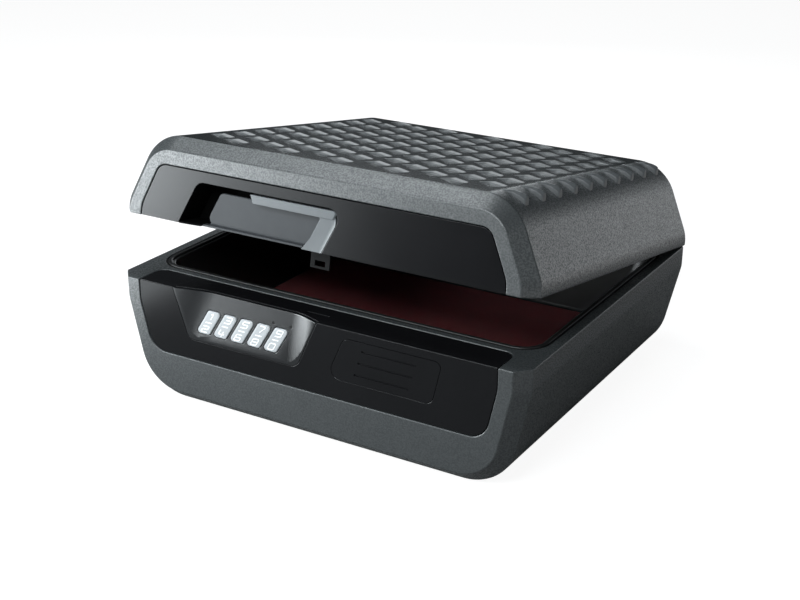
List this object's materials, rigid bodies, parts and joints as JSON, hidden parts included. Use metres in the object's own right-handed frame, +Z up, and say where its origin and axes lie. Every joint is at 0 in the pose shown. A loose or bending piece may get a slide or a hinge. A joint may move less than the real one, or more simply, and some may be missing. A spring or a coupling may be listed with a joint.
{
  "type": "digital security chest",
  "caption": "Low rounded security chest with its hinged lid ajar: keypad lock and battery cover in a black front panel, grip recess in the lid front, felt-floored storage tub.",
  "frame": {"origin": "middle of the flat underside of the base", "axes": "+Z up, +X along the width to the right as seen from the front, -Y out of the front with the keypad"},
  "size_m": [0.39, 0.3334, 0.229],
  "materials": {
    "shell_charcoal": "fine grain, satin",
    "liner_black": "satin",
    "panel_gloss_black": "polished",
    "satin_grey": "satin",
    "trim_grey": "satin silver paint",
    "key_silver": "satin silver paint with white figures",
    "felt_red": "short pile felt",
    "rubber_black": "matt",
    "insulation_fill": "cast mineral fill, matt",
    "steel": "plated",
    "board_green": "lacquered",
    "lamp_lens": "dark lens",
    "cell_wrap": "plain wrap",
    "coil_wrap": "tape"
  },
  "bodies": {
    "base": {"base_insulation": "insulation_fill", "base_liner": "liner_black", "base_shell": "shell_charcoal", "battery_contact_left_1": "steel", "battery_contact_left_2": "steel", "battery_contact_right_1": "steel", "battery_contact_right_2": "steel", "battery_lead": "rubber_black", "battery_tray": "liner_black", "board_screw_1": "steel", "board_screw_2": "steel", "board_screw_3": "steel", "board_screw_4": "steel", "cell_1": "cell_wrap", "cell_2": "cell_wrap", "cell_3": "cell_wrap", "cell_4": "cell_wrap", "circuit_board": "board_green", "floor_mat": "felt_red", "front_panel": "panel_gloss_black", "hinge_pin_left": "steel", "hinge_pin_right": "steel", "keypad_bezel": "satin_grey", "keypad_lead": "rubber_black", "keypad_mat": "rubber_black", "led_green": "lamp_lens", "led_red": "lamp_lens", "lock_case": "liner_black", "lock_coil": "coil_wrap"},
    "lid": {"lid_gasket": "rubber_black", "lid_insulation": "insulation_fill", "lid_liner": "liner_black", "lid_panel": "panel_gloss_black", "lid_shell": "shell_charcoal", "lock_strike": "steel", "pull_cup": "liner_black", "pull_plate": "satin_grey", "pull_trim": "trim_grey", "strike_screw_1": "steel", "strike_screw_2": "steel"},
    "key_1_2": {"key_1_2": "key_silver"},
    "key_3_4": {"key_3_4": "key_silver"},
    "key_5_6": {"key_5_6": "key_silver"},
    "key_7_8": {"key_7_8": "key_silver"},
    "key_9_0": {"key_9_0": "key_silver"},
    "battery_cover": {"battery_cover": "panel_gloss_black"},
    "lock_bolt": {"lock_bolt": "steel"}
  },
  "joints": [
    {"name": "lid_hinge", "type": "hinge", "parent": "base", "child": "lid", "pos_m": [0, 0.1543, 0.0877], "axis": [-1, 0, 0], "range_deg": [-10.1, 79.9]},
    {"name": "key_1_2_press", "type": "slide", "parent": "base", "child": "key_1_2", "axis": [0, 0.9853, -0.1707], "range_m": [0, 0.001], "stiffness_N_per_m": 500},
    {"name": "key_3_4_press", "type": "slide", "parent": "base", "child": "key_3_4", "axis": [0, 0.9853, -0.1707], "range_m": [0, 0.001], "stiffness_N_per_m": 500},
    {"name": "key_5_6_press", "type": "slide", "parent": "base", "child": "key_5_6", "axis": [0, 0.9853, -0.1707], "range_m": [0, 0.001], "stiffness_N_per_m": 500},
    {"name": "key_7_8_press", "type": "slide", "parent": "base", "child": "key_7_8", "axis": [0, 0.9853, -0.1707], "range_m": [0, 0.001], "stiffness_N_per_m": 500},
    {"name": "key_9_0_press", "type": "slide", "parent": "base", "child": "key_9_0", "axis": [0, 0.9853, -0.1707], "range_m": [0, 0.001], "stiffness_N_per_m": 500},
    {"name": "battery_cover_off", "type": "slide", "parent": "base", "child": "battery_cover", "axis": [0, -1, 0], "range_m": [0, 0.018]},
    {"name": "lock_bolt_throw", "type": "slide", "parent": "base", "child": "lock_bolt", "axis": [0, -1, 0], "range_m": [0, 0.0055]}
  ]
}
